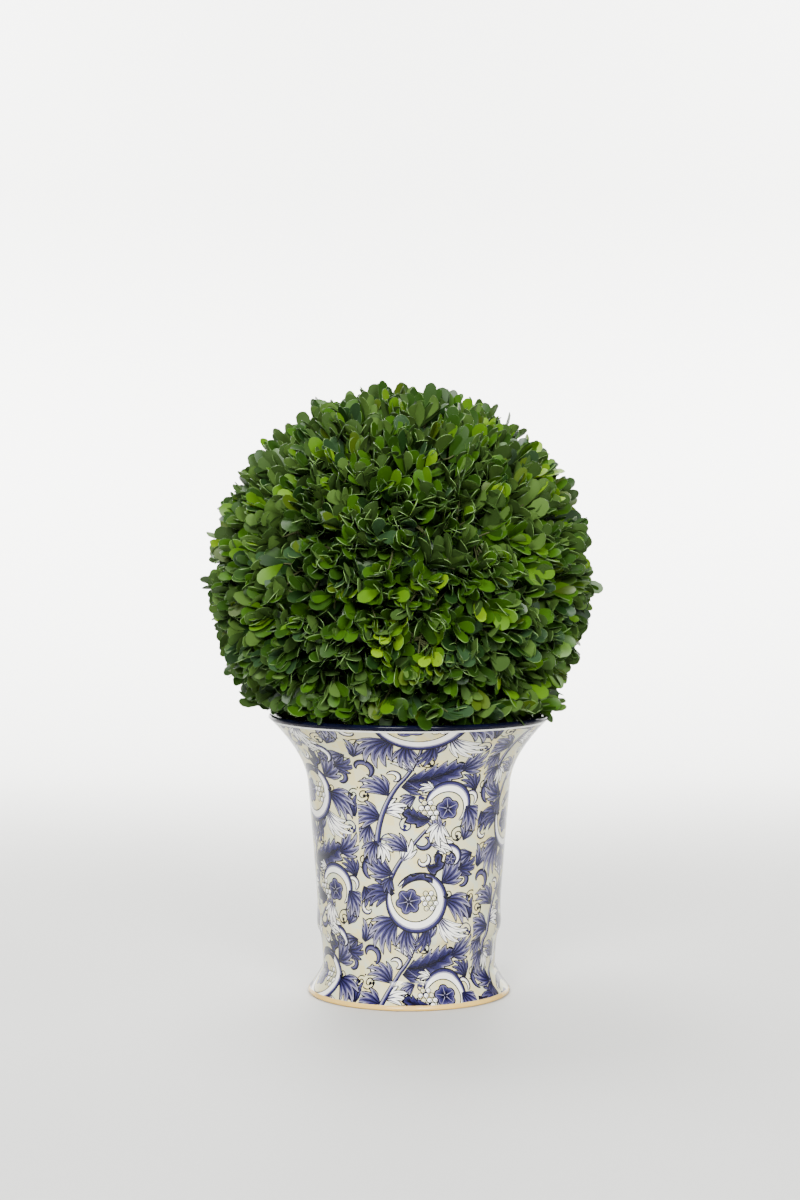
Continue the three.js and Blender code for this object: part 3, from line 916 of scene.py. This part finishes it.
LIP_INSET = 7                   # mm inside the rim within which the lip's shoots end
LIP_LIFT, LIP_SPAN = 3.5, 5     # mm above the rim that they end, and how much higher some do
LIP_ROOT = (30, 6)              # mm that they start further in, and higher


def lip_shoots():
    """Shoots that lie out over the rim, evenly round it: a turn, a little height, and a lean out and down."""
    draw = np.random.default_rng(SEED + 2)
    turn = (np.arange(LIP_SHOOTS) + draw.uniform(-0.3, 0.3, LIP_SHOOTS)) * TAU / LIP_SHOOTS
    out = np.stack([np.cos(turn), np.sin(turn), 0 * turn], 1)
    tips = out * (RIM_RADIUS - LIP_INSET + LIP_INSET * draw.random(LIP_SHOOTS))[:, None] * MM
    tips[:, 2] = (RIM_HEIGHT + LIP_LIFT + LIP_SPAN * draw.random(LIP_SHOOTS)) * MM
    ways = out + 0.22 * draw.normal(size=out.shape)
    ways[:, 2] = -0.06 - 0.32 * draw.random(LIP_SHOOTS)
    ways = unit(ways)
    roots = tips - LIP_ROOT[0] * MM * out + np.array([0, 0, LIP_ROOT[1] * MM])
    lines = limb_lines(roots, unit(out), tips, ways, LIMB_STEPS[3])
    thick, thin = (r * MM for r in LIMB_RADII[3])
    return limb_tubes(lines, thick, thin, LIMB_SIDES[3], draw), tips, ways


def joined(parts):
    """Several sets of points and faces as one."""
    shift = np.cumsum([0] + [len(points) for points, _ in parts])
    return (np.concatenate([points for points, _ in parts]),
            np.concatenate([faces + s for (_, faces), s in zip(parts, shift)]))


# ---- Leaves --------------------------------------------------------------------------------------

# Box leaves: leathery, with a waxy upper face that shines, a duller paler underside and a pale horny margin.
LEAF_COLOURS = {
    "leaf_deep_green": "#13290b", "leaf_dark_green": "#1d3608", "leaf_mid_green": "#2c4c07",
    "leaf_fresh_green": "#3f6107", "leaf_yellow_green": "#507006", "leaf_lime": "#65860a",
    "leaf_olive": "#36480c", "leaf_grey_green": "#23391f",
    "underside_dark": "#2e4419", "underside_pale": "#415b23",
    "margin_dull": "#2d4619", "margin_pale": "#607e43",
}
(DEEP, DARK, GREEN, FRESH, YELLOW, LIME, OLIVE, GREY,
 UNDER_DARK, UNDER_PALE, MARGIN_DULL, MARGIN_PALE) = range(12)
SPRAYS = (                      # share of the shoots, and the tone of each pair of leaves from the tip down
    (0.30, (DARK, DARK, DEEP, DARK, DEEP)),
    (0.27, (GREEN, GREEN, DARK, DARK, DEEP)),
    (0.15, (FRESH, GREEN, GREEN, DARK, DEEP)),
    (0.09, (YELLOW, FRESH, GREEN, DARK, DEEP)),
    (0.03, (LIME, YELLOW, FRESH, GREEN, DEEP)),
    (0.08, (OLIVE, OLIVE, DARK, DEEP, DEEP)),
    (0.08, (GREY, GREY, DEEP, DEEP, DEEP)),
)
STRAY_SHARE = 0.22              # leaves that take a tone of their own instead of the spray's
STRAY_TONES = (DEEP, DARK, GREEN, FRESH, OLIVE)
STRAY_ODDS = (0.2, 0.3, 0.3, 0.12, 0.08)
PALE_MARGINS = 0.22             # share of leaves with a pale margin
PALE_UNDERSIDES = (0.5, 0.5, 0.35, 0.35, 0.35)   # share with a pale underside, by pair from the tip down
PATCHES, PATCH_SHARE = 70, 0.4  # patches of one spray on the ball, and the share of shoots that follow theirs
PAIRS = 5
FULL_PAIRS = 3                  # pairs near the tip, drawn with all their rows of corners
PAIR_DEPTH = (0.0, 5.0, 11.0, 18.0, 26.0)        # mm back from the shoot's tip
DEPTH_JITTER = 0.8                               # mm
PAIR_SPREAD = (11, 20, 28, 37, 50)               # degrees between leaf and shoot
SPREAD_JITTER, TURN_JITTER = 8, 0.25             # how unevenly they spread and turn, in degrees and radians
OPENNESS = (0.55, 1.15)                          # least and most of that spread, shoot by shoot
PAIR_LENGTH = (17.5, 20.5, 21.5, 20.5, 18.5)     # mm
LENGTH_VARIES = 0.12                             # share of its length by which a blade differs
BLADE_WIDTH = (0.44, 0.05)                       # mean and spread, times the length
BLADE_TWIST = 0.35                               # radians about its own length
BLADE_CUP = (0.12, 0.10)                         # mean and spread of how far its sides rise
BLADE_CURL = (0.03, 0.07)                        # mean and spread of how far its tip falls, times the length
FLAT_SHOOTS = 0.5                                # share of shoots whose blades all turn to one side
LEAF_THICKNESS = 0.28                            # mm
MARGIN_WIDTH = 0.07                              # mm
# A blade's rows of corners: share of its length, and share of its half width.
FULL_ROWS = ((0, 0.07), (0.2, 0.36), (0.45, 0.76), (0.7, 1.0), (0.9, 0.78), (0.985, 0.32))
PLAIN_ROWS = ((0, 0.1), (0.55, 0.95), (0.95, 0.5))
ROSETTES = 480                  # of shaded leaves inside the ball
INNER_SHARE = 0.73              # how far out they end, as a share of the clipped reach
INNER_LOWEST = -0.85            # none points further down than this, as the sine of its slope
INNER_STEP = 2.5                # mm inwards from leaf to leaf
INNER_LEAVES = 5                # in each rosette
INNER_SPREAD = (68, 14)         # degrees between leaf and the way outwards, mean and spread
INNER_LENGTH = (19, 1.5)        # mm, mean and spread
INNER_WIDTH = 0.56              # times the length
INNER_CUP = 0.1


def leaf_pattern(rows):
    """One leaf as an upper sheet, an underside and a margin between them: for each corner its share of the
    length, its share of the half width and whether it is on the underside, then the triangles and which
    of the three sheets each belongs to."""
    count = len(rows)
    t = np.repeat([r[0] for r in rows], 3)
    x = np.array([[-r[1], 0, r[1]] for r in rows]).ravel()
    t[-2] = 1.0
    sheet = np.arange(count * 3).reshape(count, 3)
    top = grid_faces(count, 3)
    ring = np.r_[sheet[:, 0], sheet[-1, 1], sheet[::-1, 2], sheet[0, 1]]
    size, edge = count * 3, len(ring)
    below = top[:, ::-1] + size
    upper = 2 * size + np.arange(edge)
    lower = upper + edge
    after, after_low = np.roll(upper, -1), np.roll(lower, -1)
    rim = np.concatenate([np.stack([upper, after, after_low], 1), np.stack([upper, after_low, lower], 1)])
    order = np.r_[np.arange(size), np.arange(size), ring, ring]
    under = np.r_[np.zeros(size), np.ones(size), np.zeros(edge), np.ones(edge)]
    faces = np.concatenate([top, below, rim])
    kind = np.r_[np.zeros(len(top), int), np.ones(len(below), int), np.full(len(rim), 2)]
    return t[order], x[order], under, faces, kind


def leaf_sheets(rows, base, along, face, length, width, cup, curl, tones, under_tones, margin_tones):
    """All leaves at once. In a leaf's own frame, with u across, v along and w up from its face:
    u = x W / 2, v = t L, w = cup (W / 2) x^2 - curl L t^2. The upper sheet stops short of the outline by the
    margin's width, and the underside lies lower by the thickness, which falls to a third at the edge."""
    t, x, under, faces, kind = leaf_pattern(rows)
    side = np.cross(along, face)
    half = width[:, None] / 2 - MARGIN_WIDTH * MM * (1 - under)[None] * (np.abs(x) > 0)
    u = x[None] * half
    v = t[None] * length[:, None] - MARGIN_WIDTH * MM * (1 - under)[None] * (t >= 0.98)
    w = cup[:, None] * half * x[None] ** 2 - curl[:, None] * length[:, None] * t[None] ** 2
    w -= LEAF_THICKNESS * MM * under[None] * (0.35 + 0.65 * np.minimum(1, 4 * (1 - np.abs(x))))[None]
    points = (base[:, None] + u[..., None] * side[:, None] + v[..., None] * along[:, None]
              + w[..., None] * face[:, None])
    tones = np.stack([tones, under_tones, margin_tones], 1)[:, kind]
    return points, faces, tones


CLEARANCE = 0.4                 # mm kept between a leaf's corners and the clay
HANG = 7                        # mm below the rim that a leaf may hang outside the vase
OVERHANG, OVERHANG_LIFT = 5, 4  # mm past the rim that a leaf may reach, and the height up to which that holds
WALL_FROM = 60                  # mm, above the vase's shoulder, from where the wall's radii are read


def clear_of_vase(points):
    """True for each leaf with no corner in the vase's wall or far below or beyond its rim. Only corners are
    tested, so a leaf with corners on both sides of the lip can still cut it."""
    radius = np.hypot(points[..., 0], points[..., 1]) / MM
    height = points[..., 2] / MM
    outside = PROFILE[:TOP_ROW + 1]
    outside = outside[outside[:, 1] > WALL_FROM]
    inside = PROFILE[TOP_ROW:][::-1]
    inside = inside[inside[:, 1] > WALL_FROM]
    outer = np.interp(height, outside[:, 1], outside[:, 0]) + CLEARANCE
    inner = np.interp(height, inside[:, 1], inside[:, 0]) - CLEARANCE
    hits = (height < RIM_HEIGHT + CLEARANCE) & (radius > inner) & (radius < outer)
    low = (height < RIM_HEIGHT - HANG) & (radius > inner)
    wide = (height < RIM_HEIGHT + OVERHANG_LIFT) & (radius > RIM_RADIUS + OVERHANG)
    return ~(hits | low | wide).any(1)


def around(first, second, turn):
    """The direction at an angle round each shoot, from its two cross directions."""
    return first * np.cos(turn)[:, None] + second * np.sin(turn)[:, None]


def scattered(mean, spread, count, draw):
    """Numbers that scatter about a mean like a bell curve."""
    return mean + spread * draw.normal(size=count)


def grow_leaves(tips, ways):
    """Leaves in opposite pairs on a straight line back from each shoot's tip, each pair turned a quarter from
    the one above, or on flat shoots all in one plane with their faces out and up. The shoot itself curves away
    from that line, so most feet further in touch no limb. Returns the leaves near the tips, with all their
    rows, and the plainer ones from deeper down."""
    draw = np.random.default_rng(SEED + 1)
    count = len(tips)
    first, second = across(ways, draw)
    shares = np.cumsum([share for share, _ in SPRAYS])
    patches = even_directions(PATCHES, 0.3, draw)
    patch_luck = draw.random(PATCHES)
    nearest = (unit(tips - BALL_CENTRE) @ patches.T).argmax(1)
    luck = np.where(draw.random(count) < PATCH_SHARE, patch_luck[nearest], draw.random(count))
    spray = np.searchsorted(shares, luck * shares[-1])
    flat = draw.random(count) < FLAT_SHOOTS
    skyward = unit(np.cross(ways, first))
    out_and_up = tips - BALL_CENTRE + np.array([0, 0, 100 * MM])
    skyward *= np.where((skyward * out_and_up).sum(1) < 0, -1, 1)[:, None]
    pair_tones = np.array([tones for _, tones in SPRAYS])
    openness = draw.uniform(*OPENNESS, count)
    full, plain = [], []
    for pair in range(PAIRS):
        for way in (1, -1):
            turn = np.where(flat, 0, math.pi / 2 * pair) + (0 if way > 0 else math.pi)
            turn += TURN_JITTER * draw.normal(size=count)
            out = around(first, second, turn)
            angle = np.radians(scattered(PAIR_SPREAD[pair] * openness, SPREAD_JITTER, count, draw))[:, None]
            along = unit(ways * np.cos(angle) + out * np.sin(angle) + 0.06 * draw.normal(size=tips.shape))
            face = unit(ways * np.sin(angle) - out * np.cos(angle))
            face = np.where(flat[:, None], unit(skyward + 0.45 * face), face)
            twist = BLADE_TWIST * draw.normal(size=count)[:, None]
            face = unit(face * np.cos(twist) + np.cross(along, face) * np.sin(twist))
            face = unit(face - (face * along).sum(1, keepdims=True) * along)
            depth = scattered(PAIR_DEPTH[pair], DEPTH_JITTER, count, draw)[:, None] * MM
            length = PAIR_LENGTH[pair] * scattered(1, LENGTH_VARIES, count, draw).clip(0.75, 1.2) * MM
            width = length * scattered(*BLADE_WIDTH, count, draw).clip(0.34, 0.58)
            cup = scattered(*BLADE_CUP, count, draw)
            curl = scattered(*BLADE_CURL, count, draw)
            tone = pair_tones[spray, pair].copy()
            stray = draw.random(count) < STRAY_SHARE
            tone[stray] = draw.choice(STRAY_TONES, stray.sum(), p=STRAY_ODDS)
            under = np.where(draw.random(count) < PALE_UNDERSIDES[pair], UNDER_PALE, UNDER_DARK)
            margin = np.where(draw.random(count) < PALE_MARGINS, MARGIN_PALE, MARGIN_DULL)
            base = tips - ways * depth
            rows, kept = (FULL_ROWS, full) if pair < FULL_PAIRS else (PLAIN_ROWS, plain)
            kept.append(leaf_sheets(rows, base, along, face, length, width, cup, curl, tone, under, margin))
    return full, plain


def grow_inner_leaves():
    """Shaded leaves in rosettes well inside the ball, spread wide, so that no light shows through it. No limb
    carries them."""
    draw = np.random.default_rng(SEED + 3)
    ways = even_directions(ROSETTES, 0.1, draw)
    ways = ways[ways[:, 2] > INNER_LOWEST]
    tips = BALL_CENTRE + ways * (INNER_SHARE * clipped_reach(ways))[:, None]
    count = len(tips)
    first, second = across(ways, draw)
    made = []
    for part in range(INNER_LEAVES):
        turn = TAU * part / INNER_LEAVES + 0.3 * draw.normal(size=count)
        out = around(first, second, turn)
        angle = np.radians(scattered(*INNER_SPREAD, count, draw))[:, None]
        along = unit(ways * np.cos(angle) + out * np.sin(angle))
        face = unit(ways * np.sin(angle) - out * np.cos(angle))
        base = tips - ways * (INNER_STEP * part + draw.normal(size=count))[:, None] * MM
        length = scattered(*INNER_LENGTH, count, draw) * MM
        width = INNER_WIDTH * length
        cup, curl = np.full(count, INNER_CUP), np.zeros(count)
        tone = draw.choice([GREEN, GREY], count)
        under = np.full(count, UNDER_PALE)
        margin = np.full(count, MARGIN_DULL)
        made.append(leaf_sheets(PLAIN_ROWS, base, along, face, length, width, cup, curl, tone, under, margin))
    return made


def leaf_pieces(name, sheets, pieces):
    """Joins leaves of one pattern, drops those that meet the vase, and shares the rest among pieces
    by height."""
    points = np.concatenate([s[0] for s in sheets])
    tones = np.concatenate([s[2] for s in sheets])
    faces = sheets[0][1]
    clear = clear_of_vase(points)
    points, tones = points[clear], tones[clear]
    order = np.argsort(points[:, 0, 2], kind="stable")
    for number, part in enumerate(np.array_split(order, pieces)):
        corners = points[part]
        shift = np.arange(len(part))[:, None, None] * corners.shape[1]
        triangles = (faces[None] + shift).reshape(-1, 3)
        piece_name = f"{name}_{number + 1}"
        piece = make_piece(piece_name, corners.reshape(-1, 3), triangles, LEAVES, tones[part].ravel())
        place_piece(piece, "leaves", "foliage_ball")


PLANT_IOR = 1.45                # wax, bark and dry moss bend light a little less than glass


def bark_material(name, colour):
    """Box bark: thin, corky and grey-brown with fine cracks, so it is dull and catches light on its ridges.
    On young twigs it is still green."""
    material = new_material(name, colour, 0.85, PLANT_IOR)
    noise = object_noise(material, 1.6 * MM, 3)
    add_bump(material, noise.outputs["Fac"], 0.6, 0.3 * MM)
    return material


def moss_material():
    """Dry sheet moss: brown-green and fibrous, without any shine."""
    material = new_material("dry_moss", "#3a3420", 0.95, PLANT_IOR)
    noise = object_noise(material, 2.5 * MM, 4)
    add_bump(material, noise.outputs["Fac"], 0.8, 0.8 * MM)
    return material


def leaf_materials():
    """One material for each green: the waxed upper faces and margins are smoother than the undersides."""
    made = []
    for name, colour in LEAF_COLOURS.items():
        under = name.startswith("underside")
        made.append(new_material(name, colour, 0.55 if under else 0.4, PLANT_IOR, Specular_IOR_Level=0.3))
    return made


LEAVES = leaf_materials()
limb_parts, shoot_tips, shoot_ways = grow_limbs()
lip_tubes, lip_tips, lip_ways = lip_shoots()
limb_parts.append(lip_tubes)
shoot_tips = np.concatenate([shoot_tips, lip_tips])
shoot_ways = np.concatenate([shoot_ways, lip_ways])
old_bark = bark_material("box_bark", "#5a4a36")
young_bark = bark_material("green_twig_bark", "#363c18")
for limb_name, parts, bark in (("boughs", limb_parts[:2], old_bark), ("twigs", limb_parts[2:], young_bark)):
    limb_points, limb_faces = joined(parts)
    place_piece(make_piece(limb_name, limb_points, limb_faces, [bark]), "bark", "foliage_ball")
stem_points, stem_faces = build_stem()
place_piece(make_piece("stem_bark", stem_points, stem_faces, [old_bark]), "bark", "stem")
moss_points, moss_faces = build_filling()
place_piece(make_piece("moss_filling", moss_points, moss_faces, [moss_material()]), "filling", "filling")
full_leaves, plain_leaves = grow_leaves(shoot_tips, shoot_ways)
leaf_pieces("leaves", full_leaves, 4)
leaf_pieces("inner_leaves", plain_leaves + grow_inner_leaves(), 2)


# ---- Stage -------------------------------------------------------------------------------------

BACK_WALL, WALL_CURVE = 2.0, 0.8          # how far back the backdrop is, and its curve's radius at the floor
FLOOR_GAP = 0.3 * MM                      # the floor lies this far under the vase
SURROUND_STRENGTH = 0.24
WALL_LIGHT = (1.2, 152, 80)               # size, power and spread of the two that light the wall


def studio():
    """Matt paper for a floor that curves up behind, a bright even surround and large soft lights, two of them
    for the wall."""
    sides = np.linspace(-6, 6, 3)
    sweep = np.linspace(0, math.pi / 2, 13)
    depth = np.r_[-4.0, BACK_WALL - WALL_CURVE + WALL_CURVE * np.sin(sweep), BACK_WALL]
    height = np.r_[0.0, WALL_CURVE - WALL_CURVE * np.cos(sweep), 6.0] - FLOOR_GAP
    x, y = np.meshgrid(sides, depth)
    points = np.stack([x.ravel(), y.ravel(), np.repeat(height, len(sides))], 1)
    paper = new_material("matt_paper_backdrop", "#c4c4c1", 0.6)
    floor = make_piece("studio_floor", points, grid_faces(len(depth), len(sides)), [paper])

    world = bpy.data.worlds.new("studio_surround")
    bpy.context.scene.world = world
    world.use_nodes = True
    surround = world.node_tree.nodes["Background"]
    surround.inputs["Color"].default_value = linear("#f4f5f5")
    surround.inputs["Strength"].default_value = SURROUND_STRENGTH

    ball = Vector(BALL_CENTRE.tolist())
    # each light's place, what it faces, its size, power in watts and spread in degrees
    for name, spot, target, size, power, spread in (
        ("top_softbox", (-0.35, 0.55, 1.7), ball, 0.75, 38, 180),
        ("left_softbox", (-0.5, -1.8, 1.2), ball, 0.7, 17.5, 80),
        ("right_softbox", (0.6, -1.75, 1.05), ball, 0.7, 13, 80),
        ("left_wall_light", (-1.6, 0.7, 2.4), Vector((-0.8, BACK_WALL, 0.9)), *WALL_LIGHT),
        ("right_wall_light", (1.6, 0.7, 2.4), Vector((0.8, BACK_WALL, 0.9)), *WALL_LIGHT),
    ):
        data = bpy.data.lights.new(name, "AREA")
        data.shape = "SQUARE"
        data.size = size
        data.energy = power
        data.spread = math.radians(spread)
        light = bpy.data.objects.new(name, data)
        light.location = spot
        light.rotation_euler = (target - Vector(spot)).to_track_quat("-Z", "Y").to_euler()
        bpy.context.scene.collection.objects.link(light)


studio()
